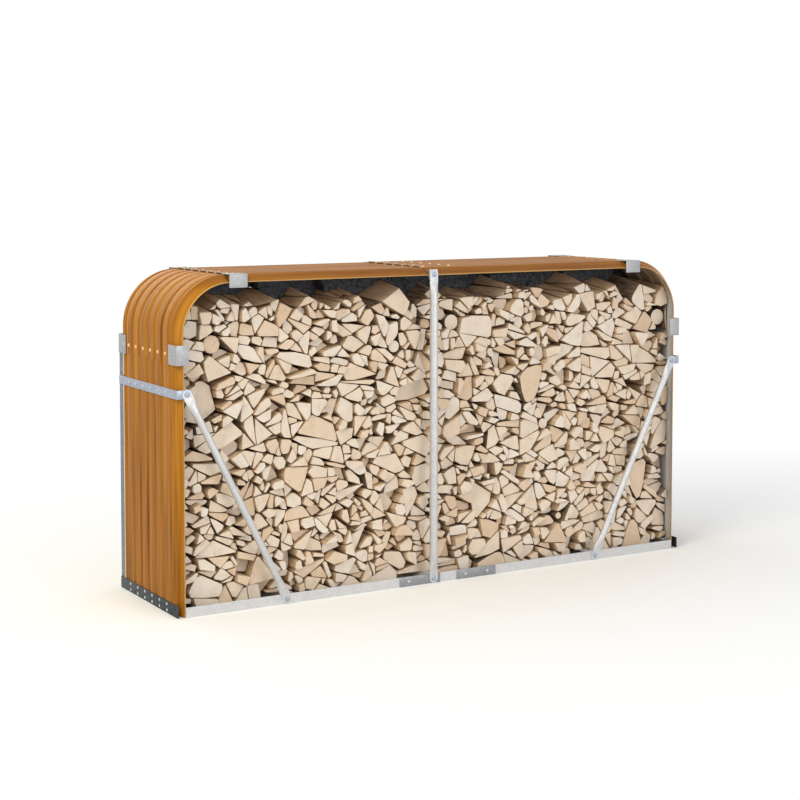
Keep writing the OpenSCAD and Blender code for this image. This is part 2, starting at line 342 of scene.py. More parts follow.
def wood_look_paint():
    """Golden oak print under clear lacquer, its grain running along each sheet."""
    finish = Finish("wood_look_paint")
    across, height = finish.axis(finish.place, "Y"), finish.axis(finish.place, "Z")
    from_middle = finish.maths("ABSOLUTE", across)
    board = finish.add("ShaderNodeCombineXYZ", {"X": finish.attribute("run"), "Y": across}).outputs[0]
    figure = finish.noise(finish.stretch(board, (1.1, 26, 1)), 1.0, 3.0, 0.6)
    streaks = finish.noise(finish.stretch(board, (2.5, 140, 1)), 1.0, 4.0, 0.3)
    pores = finish.noise(finish.stretch(board, (30, 900, 1)), 1.0, 2.0)
    oak = finish.ramp(finish.shared(figure, streaks, 0.5), (0.36, (0.21, 0.069, 0.002)),
                      (0.50, (0.40, 0.150, 0.007)), (0.64, (0.51, 0.220, 0.022)))
    grained = finish.blend(finish.level(pores, 0.0, 0.30, 0.55, 0.75), oak, (0.20, 0.060, 0.004))
    # Painted shade: a little darker down in the grooves.
    creased = finish.blend(finish.times(finish.attribute("groove"), 0.08), grained, (0.17, 0.045, 0.003))
    # Painted shadow, with some soiling, in a narrow line where another sheet's end lies on this one.
    lap_shadowed_and_soiled = finish.blend(finish.times(finish.attribute("lap_shadow_and_grime"), 0.85), creased, (0.05, 0.020, 0.006))
    # Darker towards the bottom.
    darker_low = finish.blend(finish.level(height, 0.28, 0.0, 0.05, 1.0), lap_shadowed_and_soiled, (0.09, 0.026, 0.002))
    # Painted shade: the top of the roof and the top of its lips a little darker, fading out over the bends.
    on_roof = finish.level(finish.maths("ABSOLUTE", finish.axis(finish.place, "X")), 1.0, 0.0, 1.03, 1.09)
    roof_shade = finish.times(finish.level(height, 0.0, 0.21, 1.33, 1.385), on_roof)
    roof_shaded = finish.blend(roof_shade, darker_low, (0.10, 0.030, 0.002))
    # Painted shade on the upper part of the front and back lips.
    on_lip = finish.level(from_middle, 0.0, 0.40, half_d - lip_run, half_d - lip_run + 0.006)
    lip_shade = finish.times(finish.level(height, 0.0, 1.0, 1.335, 1.365), on_lip)
    lip_shaded = finish.blend(lip_shade, roof_shaded, (0.15, 0.042, 0.0005))
    # Painted highlight: a pale line along the lower edge of every lip.
    lip_edge_highlight = finish.level(from_middle, 0.0, 0.6, half_d - 0.0040, half_d - 0.0015)
    colour = finish.blend(lip_edge_highlight, lip_shaded, (0.62, 0.42, 0.18))
    finish.bump(pores, 0.0002, 0.25)
    rough = finish.level(streaks, 0.42, 0.54)
    return finish.set(Base_Color=colour, Roughness=rough, Specular_IOR_Level=0.16)


def back_coat():
    """Thin grey primer inside the sheets, brown from the bends up: painted warm light reflected from the
    logs.
    """
    finish = Finish("back_coat")
    cloud = finish.noise(finish.place, 7.0, 4.0)
    clean = finish.ramp(cloud, (0.3, (0.44, 0.42, 0.40)), (0.7, (0.51, 0.49, 0.47)))
    # Painted warm light reflected from the logs, high up under the bends and the roof.
    warm_bounce_light = finish.ramp(cloud, (0.3, (0.40, 0.25, 0.13)), (0.7, (0.48, 0.31, 0.18)))
    warm_bounce_mask = finish.level(finish.axis(finish.place, "Z"), 0.0, 0.9, 1.19, 1.27)
    colour = finish.blend(warm_bounce_mask, clean, warm_bounce_light)
    finish.bump(finish.noise(finish.place, 160.0, 2.0), 0.0001, 0.3)
    rough = finish.level(cloud, 0.48, 0.60)
    return finish.set(Base_Color=colour, Roughness=rough, Specular_IOR_Level=0.3)


def cut_edge_and_highlight():
    """Cut edges of the sheets: a pale tone, partly the bare edge and partly a painted highlight."""
    finish = Finish("cut_edge_and_highlight")
    wear = finish.noise(finish.stretch(finish.place, (40, 40, 40)), 1.0, 3.0)
    colour = finish.ramp(wear, (0.35, (0.58, 0.36, 0.16)), (0.65, (0.76, 0.55, 0.32)))
    return finish.set(Base_Color=colour, Roughness=finish.level(wear, 0.34, 0.50))


def galvanised(name, dark, light, roughness):
    """Hot-dipped zinc with its spangle."""
    finish = Finish(name)
    spangle = finish.add("ShaderNodeTexVoronoi", {"Vector": finish.place, "Scale": 90.0, "Randomness": 1.0})
    facet = finish.axis(spangle.outputs["Color"], "X")
    scratches = finish.noise(finish.stretch(finish.place, (60, 60, 700)), 1.0, 2.0)
    mottle = finish.shared(facet, finish.noise(finish.place, 14.0, 4.0), 0.45)
    colour = finish.ramp(mottle, (0.25, dark), (0.75, light))
    finish.bump(finish.maths("ADD", facet, scratches), 0.00005, 0.2)
    rough = finish.level(mottle, roughness + 0.10, roughness - 0.04, 0.2, 0.8)
    return finish.set(Base_Color=colour, Metallic=0.45, Roughness=rough)


def screw_paint():
    """Lacquered screw heads, a shade paler than the sheet."""
    finish = Finish("screw_paint")
    cloud = finish.noise(finish.place, 90.0, 3.0)
    colour = finish.ramp(cloud, (0.3, (0.84, 0.52, 0.20)), (0.7, (0.95, 0.66, 0.32)))
    return finish.set(Base_Color=colour, Roughness=finish.level(cloud, 0.22, 0.36), Coat_Weight=0.5)


def end_grain():
    """Sawn end of a split log: growth rings round its own pith, checks and saw marks."""
    finish = Finish("end_grain")
    to_point = {0: finish.place, 1: finish.attribute("pith", "Vector")}
    from_pith = finish.add("ShaderNodeVectorMath", to_point, operation="SUBTRACT").outputs[0]
    flat = finish.stretch(from_pith, (1, 0.05, 1))
    wobble = finish.noise(finish.place, 16.0, 3.0)
    distance = finish.add("ShaderNodeVectorMath", {0: flat}, operation="LENGTH").outputs["Value"]
    phase = finish.maths("ADD", finish.times(distance, 1500.0), finish.times(wobble, 9.0))
    rings = finish.maths("SINE", phase)
    fine = finish.noise(finish.place, 420.0, 2.0)
    cloud = finish.noise(finish.place, 24.0, 4.0)
    fresh = finish.ramp(finish.attribute("tone"), (0.0, (0.64, 0.48, 0.34)), (0.12, (0.70, 0.55, 0.41)),
                        (0.30, (0.73, 0.61, 0.49)), (0.62, (0.735, 0.635, 0.525)),
                        (1.0, (0.755, 0.685, 0.605)))
    clouded = finish.level(cloud, 0.0, 0.26, 0.35, 0.75)
    shade = finish.maths("ADD", finish.level(rings, 0.0, 0.12, -1.0, 1.0), clouded)
    ringed = finish.blend(shade, fresh, (0.52, 0.36, 0.22))
    cells = {"Vector": finish.stretch(finish.place, (30, 3, 30)), "Scale": 1.0}
    split = finish.add("ShaderNodeTexVoronoi", cells, feature="DISTANCE_TO_EDGE").outputs["Distance"]
    dry = finish.level(cloud, 0.0, 1.0, 0.5, 0.62)
    check = finish.times(finish.level(split, 0.5, 0.0, 0.0, 0.020), dry)
    colour = finish.blend(check, ringed, (0.20, 0.12, 0.06))
    teeth = {"Vector": finish.place, "Scale": 70.0, "Distortion": 3.0}
    saw = finish.add("ShaderNodeTexWave", teeth, bands_direction="DIAGONAL").outputs["Fac"]
    finish.bump(finish.shared(fine, saw, 0.7), 0.0008, 0.5)
    rough = finish.level(fine, 0.72, 0.88)
    return finish.set(Base_Color=colour, Roughness=rough, Specular_IOR_Level=0.25)


def split_side():
    """Riven side of a log: long fibres and a warmer tone, changed by the weather."""
    finish = Finish("split_side")
    fibre = finish.noise(finish.stretch(finish.place, (150, 5, 150)), 1.0, 5.0)
    broad = finish.noise(finish.stretch(finish.place, (26, 3, 26)), 1.0, 3.0)
    wood = finish.ramp(finish.shared(fibre, broad, 0.5), (0.34, (0.42, 0.280, 0.168)),
                       (0.50, (0.62, 0.46, 0.30)), (0.66, (0.76, 0.61, 0.44)))
    colour = finish.blend(finish.level(finish.attribute("tone"), 0.40, 0.0), wood, (0.49, 0.33, 0.20))
    finish.bump(fibre, 0.002, 0.8)
    return finish.set(Base_Color=colour, Roughness=0.85, Specular_IOR_Level=0.2)


def bark(name, deep, middle, high, lichen):
    """Thin, furrowed bark."""
    finish = Finish(name)
    furrow = finish.noise(finish.stretch(finish.place, (70, 12, 70)), 1.0, 5.0, 0.8)
    patch = finish.noise(finish.place, 20.0, 3.0)
    ground = finish.ramp(furrow, (0.36, deep), (0.52, middle), (0.70, high))
    colour = finish.blend(finish.level(patch, 0.0, 0.6, 0.5, 0.75), ground, lichen)
    finish.bump(furrow, 0.004, 1.0)
    return finish.set(Base_Color=colour, Roughness=0.92, Specular_IOR_Level=0.15)


# -------- folded sheets


def run_along(point):
    """Distance from the ground, up the side and over the bend, to a point of the shell."""
    across = abs(point.x)
    if across < arc_x:
        return arc_z + corner_r * math.pi / 2 + arc_x - across
    if point.z < arc_z:
        return point.z
    return arc_z + corner_r * math.atan2(point.z - arc_z, across - arc_x)


def depth_in(point, outer):
    """How far a point of the shell lies inside its outer surface."""
    across = abs(point.x)
    if across < arc_x:
        return outer - point.z
    if point.z < arc_z:
        return outer - shell_h + half_w - across
    return outer - shell_h + corner_r - math.hypot(across - arc_x, point.z - arc_z)


def score(place, direction):
    """Scores a line across the sheet where it will be folded."""
    bpy.ops.mesh.select_all(action="SELECT")
    bpy.ops.mesh.bisect(plane_co=place, plane_no=direction)


def pressed_sheet(name, low_x, high_x, outer):
    """Lying sheet with pressed grooves, sloping lips along front and back, and hemmed edges."""
    piece = plane(name, (low_x, -half_d, outer), (high_x, half_d, outer))
    edit(piece)
    folds = [-half_d + lip_run, half_d - lip_run]
    for y in groove_places:
        for half in (groove_mouth / 2, groove_floor / 2):
            folds += [y - half, y + half]
    for y in folds:
        score((0, y, outer), (0, 1, 0))
    pick(piece, "verts", lambda v: any(abs(v.co.y - y) < groove_floor / 2 + near for y in groove_places))
    bpy.ops.transform.translate(value=(0, 0, -groove_depth))
    pick(piece, "verts", lambda v: abs(v.co.y) > half_d - near)
    bpy.ops.transform.translate(value=(0, 0, -lip_in))
    lip = Vector((lip_run, lip_in)).normalized()
    for end in (-1, 1):
        pick(piece, "edges", lambda e: all(v.co.y * end > half_d - near for v in e.verts))
        draw_out(y=-end * lip.y * hem_fold, z=-lip.x * hem_fold)
        draw_out(y=-end * lip.x * hem_w, z=lip.y * hem_w)
    return piece


def lapped_end(piece, outer, end, inward):
    """Springs the end of a sheet up a little where it laps over the next, with a hem on its edge."""
    clear_of_clips = groove_places[-1] - groove_floor / 2 + near
    score((end + inward * lap_w, 0, outer), (1, 0, 0))
    at_end = lambda v: abs(v.co.x - end) < touching and abs(v.co.y) < clear_of_clips
    pick(piece, "verts", at_end)
    bpy.ops.transform.translate(value=(0, 0, lap_lift))
    pick(piece, "edges", lambda e: all(map(at_end, e.verts)))
    draw_out(z=lap_hem)
    draw_out(x=inward * lap_w)


def round_folds(piece):
    """Gives every fold that runs along the sheet its small bending radius."""
    edit(piece)
    hem_free = half_d - lip_run + near
    along = lambda e: abs(e.verts[0].co.y - e.verts[1].co.y) < touching
    fold = lambda e: along(e) and len(e.link_faces) == 2 and abs(e.verts[0].co.y) < hem_free
    creased = lambda e: fold(e) and e.calc_face_angle(0) > math.radians(20)
    turn_axis = lambda a, b: a.normal.cross(b.normal).normalized()
    pick(piece, "edges", lambda e: creased(e) and turn_axis(*e.link_faces).y ** 2 < 0.5)
    bpy.ops.mesh.bevel(offset=fold_round, segments=3, affect="EDGES", clamp_overlap=True)


def store(piece, name, values, kind="FLOAT", field="value"):
    """Gives every point of a piece a value that its finish reads."""
    attribute = piece.data.attributes.new(name, kind, "POINT")
    attribute.data.foreach_set(field, values)


def mark_sheet(piece, outer, seam, lap_shadow_and_grime):
    """Stores how far along the shell each point is, how deep it lies in a groove, for the painted shade
    there, and where the lines of painted shadow and soiling lie.

    The last argument holds the places, in X, where another sheet's end lies on this one, and the way the
    painted shadow and soiling below that end fade out."""
    points = [v.co for v in piece.data.vertices]
    flat_d = half_d - lip_run - 0.004
    depths = [depth_in(p, outer) / groove_depth if abs(p.y) < flat_d else 0 for p in points]
    lap_shadow_and_grime_fade = [[1 - abs(p.x - x) / lap_shadow_and_grime_w for x, way in lap_shadow_and_grime if (p.x - x) * way > -touching] for p in points]
    store(piece, "run", [run_along(p) + seam for p in points])
    store(piece, "groove", [min(1, max(0, depth)) for depth in depths])
    store(piece, "lap_shadow_and_grime", [max(0, 0, *faded) for faded in lap_shadow_and_grime_fade])


def finish_sheet(piece, node, outward, outer, seam, lap_shadow_and_grime=()):
    """Rounds the folds of a sheet and makes it steel with paint outside and primer inside."""
    round_folds(piece)
    outwards(piece, outward)
    mark_sheet(piece, outer, seam, lap_shadow_and_grime)
    # The rims take the pale cut-edge finish, partly a painted highlight.
    coat(piece, paint, primer, cut_edge_and_highlight_paint)
    modify(piece, "SOLIDIFY", thickness=sheet_t, offset=-1, use_even_offset=True, material_offset=1,
           material_offset_rim=2)
    smooth(piece)
    finish_piece(piece, "wood_look_sheet", node)


def roof_sheet(node, low_x, high_x, layer, seam, lap_shadow_and_grime):
    """Roof sheet whose left end laps over the sheet before it."""
    outer = shell_h + layer * sheet_t
    piece = pressed_sheet(node.replace("sheet", "cladding"), low_x, high_x, outer)
    # Scores the edges of each line of painted shadow and soiling.
    for x, way in lap_shadow_and_grime:
        score((x, 0, outer), (1, 0, 0))
        score((x + way * lap_shadow_and_grime_w, 0, outer), (1, 0, 0))
    lapped_end(piece, outer, low_x, 1)
    finish_sheet(piece, node, lambda p: Vector((0, 0, 1)), outer, seam, lap_shadow_and_grime)


def side_sheet(node, side, layer, seam):
    outer = half_w + layer * sheet_t
    ends = sorted((-side * side_bottom, -side * side_top))
    piece = pressed_sheet(node.replace("sheet", "cladding"), *ends, outer)
    to_side(piece, side)
    finish_sheet(piece, node, lambda p: Vector((side, 0, 0)), outer - half_w + shell_h, seam)


def corner_sheet(node, side, layer, seam):
    """Flat top, quarter bend and straight tail of one corner."""
    outer = shell_h + layer * sheet_t
    ends = sorted((side * corner_end, side * arc_x))
    piece = pressed_sheet(node.replace("sheet", "cladding"), *ends, outer)
    edit(piece)
    pick(piece, "edges", lambda e: all(abs(v.co.x - side * arc_x) < near for v in e.verts))
    bpy.ops.mesh.spin(steps=corner_steps, angle=-side * math.pi / 2, center=(side * arc_x, 0, arc_z),
                      axis=(0, 1, 0))
    pick(piece, "edges", lambda e: all(abs(v.co.z - arc_z) < near for v in e.verts))
    draw_out(z=left_corner_low.z - arc_z)
    bpy.ops.mesh.select_all(action="SELECT")
    bpy.ops.mesh.remove_doubles(threshold=touching)
    # On the left corner: a line of painted shadow and soiling where the left roof sheet's end lies on it.
    lap_shadow_and_grime = [(side * arc_x, side)] if side < 0 else []
    from_bend = lambda p: Vector((p.x - side * arc_x, 0, p.z - arc_z))
    finish_sheet(piece, node, from_bend, outer, seam, lap_shadow_and_grime)


# -------- screws and bolts


def rounded_disc(name, radius, height, sides, lift=0.0, soften=0.0006):
    """Short cylinder standing on Z = lift, its upper rim softened."""
    begin()
    bpy.ops.mesh.primitive_cylinder_add(vertices=sides, radius=radius, depth=height,
                                        location=(0, 0, lift + height / 2))
    piece = settle(bpy.context.object)
    piece.name = name
    edit(piece)
    top = lift + height
    pick(piece, "edges", lambda e: all(v.co.z > top - touching for v in e.verts))
    bpy.ops.mesh.bevel(offset=soften, segments=2, affect="EDGES")
    return begin(piece)


def fastening(name, material, washer, head):
    """Screw or bolt: a hexagon on a round washer.

    washer is its radius, thickness and number of sides, head its radius, height and rounding."""
    disc = rounded_disc(name, *washer)
    hexagon = rounded_disc("hexagon", head[0], head[1], 6, washer[1], head[2])
    model = join([disc, hexagon], name)
    coat(model, material)
    smooth(model)
    return model


# -------- strips, clips and plates


def folded_strip(name, low, high, thickness, front_leg=0.0, back_leg=0.0):
    """Flat strip whose outer face lies between two corners, its ends folded down as legs."""
    piece = plane(name, low, high)
    edit(piece)
    for y, leg in ((low[1], front_leg), (high[1], back_leg)):
        if leg:
            on_end = lambda v: abs(v.co.y - y) < touching and abs(v.co.z - low[2]) < touching
            pick(piece, "edges", lambda e: all(map(on_end, e.verts)))
            draw_out(z=-leg)
    if front_leg or back_leg:
        pick(piece, "edges", lambda e: len(e.link_faces) == 2)
        bpy.ops.mesh.bevel(offset=thickness * 1.4, segments=4, affect="EDGES")
    outwards(piece, lambda p: Vector((0, 0, 1)))
    modify(piece, "SOLIDIFY", thickness=thickness, offset=-1, use_even_offset=True)
    modify(piece, "BEVEL", width=thickness * 0.18, segments=2, limit_method="ANGLE",
           angle_limit=math.radians(50))
    return piece


def to_end(piece, end):
    """Mirrors a piece made for the front where it belongs at the back."""
    if end > 0:
        piece.scale = (1, -1, 1)
        settle(piece)
        face_out(piece)
    return piece


def edge_clips():
    """Eight angle clips with their screws, over the edges of the sheets at the side and roof joints.

    Each is made lying on the outer face of its sheet, for the front edge."""
    for end, place in faces:
        for joint, along, face, side in (
                ("left_roof", -roof_joint_x, shell_h + layer_left_roof * sheet_t, 0),
                ("right_roof", roof_joint_x, shell_h + layer_right_corner * sheet_t, 0),
                ("left_side", side_joint_z, half_w + layer_left_corner * sheet_t, -1),
                ("right_side", -side_joint_z, half_w + layer_right_corner * sheet_t, 1)):
            node = f"{place}_{joint}_clip"
            top = face + clip_t
            near_end = (along - clip_len / 2, -half_d - clip_t, top)
            far_end = (along + clip_len / 2, -half_d + clip_back, top)
            piece = folded_strip(node + "_angle", near_end, far_end, clip_t, clip_face + clip_t)
            coat(piece, shaded_clip_zinc)
            piece = join([piece, *copies(zinc_screw, [(along, -half_d + clip_screw_back, top)])], piece.name)
            if side:
                to_side(piece, side)
            to_end(piece, end)
            smooth(piece)
            finish_piece(piece, "zinc", node)


def side_strip(node, side, low, high, face, leg, material, rows):
    """Strip across a side between two heights, made lying on its face, with rows of screws on the flats."""
    low_x, high_x = sorted((-side * low, -side * high))
    half = bar_face_y if leg else half_d
    piece = folded_strip(node + "_bar", (low_x, -half, face), (high_x, half, face), bar_t, leg, leg)
    coat(piece, material)
    screws = copies(zinc_screw, [(-side * z, y, face) for y in flat_places for z in rows])
    piece = to_side(join([piece, *screws], node + "_bar"), side)
    smooth(piece)
    return piece


def side_bands():
    """Flat band across each side, bent round to the braces at both ends, with a screw on each flat."""
    for side, node, layer in ((-1, "left_band", layer_left_side), (1, "right_band", layer_right_side)):
        low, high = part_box(node)
        middle = (low.z + high.z) / 2
        face = half_w + layer * sheet_t + bar_t
        leg = face - (half_w + bar_t - band_reach)
        piece = side_strip(node, side, middle - band_h / 2, middle + band_h / 2, face, leg, sky_shaded_zinc,
                           [middle])
        finish_piece(piece, "zinc", node)


def foot_strips():
    """Strip along the foot of each side, with two rows of screws."""
    for side, name, layer in ((-1, "left", layer_left_side), (1, "right", layer_right_side)):
        node = name + "_foot_strip"
        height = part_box(node)[1].z
        rows = (foot_row_inset, height - foot_row_inset)
        piece = side_strip(node, side, 0, height, half_w + layer * sheet_t + bar_t, 0, foot_shaded_zinc, rows)
        finish_piece(piece, "dark_zinc", node)


def splice_plates():
    """Plate over each butt joint of two rails, with a screw near each end."""
    for end, place in faces:
        for name in ("left", "right"):
            node = f"{place}_{name}_splice"
            low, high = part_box(f"front_{name}_splice")
            face = bar_face_y + bar_t
            piece = folded_strip(node + "_plate", (low.x, 0, face), (high.x, high.z, face), bar_t)
            coat(piece, splice_shaded_zinc)
            places = [(x, high.z / 2, face) for x in (low.x + splice_inset, high.x - splice_inset)
                      if abs(x - post_x) > 2 * tab_r]
            piece = join([piece, *copies(zinc_screw, places)], piece.name)
            piece.rotation_euler = (math.pi / 2, 0, 0)
            to_end(settle(piece), end)
            smooth(piece)
            finish_piece(piece, "dark_zinc", node)


# -------- tubes with pressed ends


def pressed_end(piece, tube_r, ring_z, way, bolt_z):
    """Draws the open end of a tube out to its bolt, pressed flat and rounded off past it.

    A station is its distance from the bolt, half its width and half its thickness."""
    tapering = [(tab_flat + tab_taper * s, tube_r + (tab_r - tube_r) * (1 - s),
                 tube_r * s ** 0.8 + tab_t * 0.9 * (1 - s)) for s in (0.8, 0.55, 0.3, 0.1)]
    rounded = [(-tab_r * math.sin(math.radians(a)), tab_r * math.cos(math.radians(a)), tab_t)
               for a in (20, 40, 58, 74, 84)]
    z, wide, thick = ring_z, tube_r, tube_r
    pick(piece, "edges", lambda e: all(abs(v.co.z - ring_z) < touching for v in e.verts))
    stations = (*tapering, (tab_flat, tab_r, tab_t), (0, tab_r, tab_t), *rounded)
    for from_bolt, next_wide, next_thick in stations:
        next_z = bolt_z - way * from_bolt
        draw_out(z=next_z - z)
        bpy.ops.transform.resize(value=(next_wide / wide, next_thick / thick, 1),
                                 center_override=(0, 0, next_z))
        z, wide, thick = next_z, next_wide, next_thick
    bpy.ops.mesh.edge_face_add()
    past_taper = lambda v: (v.co.z - bolt_z) * way > -tab_flat - near
    for face_way in (-1, 1):
        pick(piece, "verts", lambda v: past_taper(v) and v.co.y * face_way > near)
        bpy.ops.transform.resize(value=(1, 0, 1), center_override=(0, face_way * tab_t / 2, 0))


def tube(node, foot, head, end, tube_r, behind):
    """Round tube between two bolts on one face of the store, its ends pressed flat and bolted.

    behind is the thickness of what lies between the tube's ends and the frame."""
    reach = Vector(head) - Vector(foot)
    length = reach.length
    round_from = tab_flat + tab_taper
    begin()
    bpy.ops.mesh.primitive_cylinder_add(vertices=24, radius=tube_r, depth=length - 2 * round_from,
                                        end_fill_type="NOTHING", location=(0, 0, length / 2))
    piece = settle(bpy.context.object)
    edit(piece)
    pressed_end(piece, tube_r, round_from, -1, 0)
    pressed_end(piece, tube_r, length - round_from, 1, length)
    face_out(piece)
    coat(piece, zinc)
    bolts = copies(zinc_bolt, [(0, -tab_t / 2, 0), (0, -tab_t / 2, length)], turn=(math.pi / 2, 0, 0))
    piece = join([piece, *bolts], node + "_tube")
    piece.rotation_euler = (0, math.atan2(reach.x, reach.y), 0)
    piece.location = (foot[0], -bar_face_y - behind - tab_t / 2, foot[1])
    to_end(settle(piece), end)
    smooth(piece, 40)
    finish_piece(piece, "zinc", node)


def posts_and_braces():
    low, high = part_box("left_band")
    brace_top_z = (low.z + high.z) / 2
    for end, place in faces:
        tube(f"{place}_post", (post_x, tab_r), (post_x, shell_h - post_head_inset), end, post_r, bar_t)
        for side, name in ((-1, "left"), (1, "right")):
            tube(f"{place}_{name}_brace", (side * brace_foot_x, tab_r), (side * brace_top_x, brace_top_z),
                 end, brace_r, 0)


# -------- seam screws


def seam_screws():
    """Painted screws on every flat along the side joints, the roof joints and the roof lap."""
    lap_row = roof_lap - lap_row_inset
    for name, rows, layer, side in (
            ("left_side_seam", [side_joint_z], layer_left_corner, -1),
            ("right_side_seam", [-side_joint_z], layer_right_corner, 1),
            ("left_roof_seam", [-roof_joint_x], layer_left_roof, 0),
            ("right_roof_seam", [roof_joint_x], layer_right_corner, 0),
            ("roof_lap", [-lap_row, lap_row], layer_right_roof, 0)):
        face = (half_w if side else shell_h) + layer * sheet_t
        places = [(x, y, face) for x in rows for y in flat_places]
        piece = join(copies(painted_screw, places), name + "_screws")
        if side:
            to_side(piece, side)
        finish_piece(piece, "wood_look_sheet")


# -------- firewood

wood_front = -0.246
wood_back = 0.244
wood_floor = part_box("left_floor_bar")[1].z
wood_low = 0.008
floor_bars = [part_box(name + "_floor_bar") for name in ("left_end", "left", "middle", "right", "right_end")]
wood_wall = half_w - sheet_t - groove_depth - 0.001
wood_bend_r = corner_r - groove_depth - 0.0045
bar_clear = 0.004
wood_line = 1.303
wood_cap = 1.347
top_rise = 0.165
round_pitch_x = 0.148
round_pitch_z = 0.132
log_sizes = (0.0014, 0.0024, 0.0042, 0.0085, 0.0200)
log_shares = (22, 34, 26, 13, 5)
least_log = 0.0009
least_width = 0.018
shortest_side = 0.008
crooked_side = 0.035
block = 3.2
armful = 14
axe = random.Random(11)


class Wall:
    """A flat cut beside a log: a point and an outward direction in the front view.

    Where lean is positive the cut comes inwards towards the back. Held walls are the store itself."""

    def __init__(self, point, normal, lean=0.0, barked=False, held=False):
        self.point, self.normal, self.lean = Vector(point), Vector(normal), lean
        self.barked, self.held = barked, held

    def twin(self):
        """The same cut, seen from the log on its other side."""
        return Wall(self.point, -self.normal, -self.lean)

    def height(self, point):
        return (point - self.point).dot(self.normal)


def sides_of(outline):
    """Each corner of an outline with the next. An outline is a list of (corner, wall to the next)."""
    return zip(outline, outline[1:] + outline[:1])


def cut(outline, wall):
    """Keeps the part of an outline behind a wall."""
    kept = []
    for (a, side), (b, _) in sides_of(outline):
        ha, hb = wall.height(a), wall.height(b)
        if ha <= 0:
            kept.append((a, side))
        if ha * hb < 0:
            crossing = a.lerp(b, ha / (ha - hb))
            kept.append((crossing, wall if ha < 0 else side))
    return kept


def area_and_middle(outline):
    area, middle = 0.0, Vector((0, 0))
    for (a, _), (b, _) in sides_of(outline):
        cross = a.x * b.y - b.x * a.y
        area += cross / 2
        middle += (a + b) * cross / 6
    return abs(area), middle / area if area else outline[0][0]


def long_way(outline):
    """The longest line between two corners."""
    return max(((b - a) for a, _ in outline for b, _ in outline), key=lambda way: way.length)


def turned(way, degrees):
    turn = math.radians(degrees)
    return Vector((way.x * math.cos(turn) - way.y * math.sin(turn),
                   way.x * math.sin(turn) + way.y * math.cos(turn)))


def fair(outline):
    """Whether an outline is big and thick enough for a log."""
    if len(outline) < 3:
        return False
    area = area_and_middle(outline)[0]
    return area > least_log and area / long_way(outline).length > least_width


def split(outline):
    """Splits a round's outline with a few strokes of the axe into wedges, slabs and billets."""
    area, middle = area_and_middle(outline)
    if area < 1.2 * axe.choices(log_sizes, log_shares)[0]:
        return [outline]
    for _ in range(4):
        across = axe.random() < 0.58
        normal = turned(long_way(outline).normalized() if across else Vector((0, 1)), axe.gauss(0, 22))
        wall = Wall(middle + normal * axe.uniform(-0.2, 0.2) * math.sqrt(area), normal, axe.gauss(0, 0.014))
        halves = [cut(outline, wall), cut(outline, wall.twin())]
        if all(map(fair, halves)):
            return [piece for half in halves for piece in split(half)]
    return [outline]


def round_places():
    """Middles of the rounds of wood, in uneven rows, with a few thin sticks among them.

    The rows are counted down from the line of the stack's front; the one above it holds the fillers."""
    places = []
    rows = int((wood_line - wood_floor) / round_pitch_z) + 1
    columns = int(2 * wood_wall / round_pitch_x) + 1
    for row in range(-1, rows):
        spread = 0.20 if row < 1 else 0.42
        for column in range(columns):
            step = column + 0.3 + 0.5 * (row % 2)
            x = -wood_wall + step * round_pitch_x + axe.uniform(-0.44, 0.44) * round_pitch_x
            z = wood_line - (row + 0.5 + axe.uniform(-spread, spread)) * round_pitch_z
            places.append((Vector((x, z)), 0.0 if row < 1 else axe.uniform(-0.004, 0.004), False))
    for _ in range(8):
        x, z = axe.uniform(-wood_wall, wood_wall), axe.uniform(wood_floor + 0.1, wood_line - 0.1)
        places.append((Vector((x, z)), -0.0042, True))
    return places


def held_walls():
    """The sides, ground, bent corners and cap that hold the stack in."""
    flats = [((wood_wall, 0), (1, 0)), ((-wood_wall, 0), (-1, 0)), ((0, wood_low), (0, -1)),
             ((0, wood_cap), (0, 1))]
    for side in (-1, 1):
        for degrees in (29, 46, 63, 80):
            way = Vector((side * math.sin(math.radians(degrees)), math.cos(math.radians(degrees))))
            flats.append((Vector((side * arc_x, arc_z)) + way * wood_bend_r, way))
    return [Wall(point, normal, held=True) for point, normal in flats]


def rest_on_bars(outline):
    """Cuts an outline off at the top of the floor bars where it stands over one; others sag between them."""
    low_x, *_, high_x = sorted(corner.x for corner, _ in outline)
    if any(low_x < high.x + bar_clear and high_x > low.x - bar_clear for low, high in floor_bars):
        return cut(outline, Wall((0, wood_floor), (0, -1), held=True))
    return outline


def stack_outlines():
    """Every log's outline in the front view, with its kind and the middle of the round it was split from.

    Rounds above the line of the stack's front only show at the back: they are the short fillers."""
    places = round_places()
    held = held_walls()
    leans = {}
    logs = []
    for i, (middle, weight, stick) in enumerate(places):
        filler = middle.y > wood_line
        reach = 0.4
        corners = ((-reach, -reach), (reach, -reach), (reach, reach), (-reach, reach))
        outline = [(middle + Vector(corner), held[0]) for corner in corners]
        barked = axe.random() < 0.22
        for j, (other, other_weight, _) in enumerate(places):
            apart = other - middle
            if i == j or apart.length > 3.2 * round_pitch_x:
                continue
            lean = leans.setdefault((min(i, j), max(i, j)), axe.gauss(0, 0.014)) * (1 if i < j else -1)
            if (other.y > wood_line) != filler:
                lean = -top_rise * apart.y / apart.length
            share = (apart.length_squared + weight - other_weight) / (2 * apart.length_squared)
            outline = cut(outline, Wall(middle + apart * share, apart.normalized(), lean, barked))
        for wall in held:
            outline = cut(outline, wall)
        if len(outline) < 3:
            continue
        if stick or filler:
            logs.append((outline, middle, "stick" if stick else "filler"))
            continue
        pith = middle + Vector((axe.uniform(-0.05, 0.05), axe.uniform(-0.05, 0.05)))
        logs += [(piece, pith, "log") for piece in split(outline)]
    logs = [(rest_on_bars(outline), pith, kind) for outline, pith, kind in logs]
    return [log for log in logs if len(log[0]) > 2 and area_and_middle(log[0])[0] > least_log / 2], held


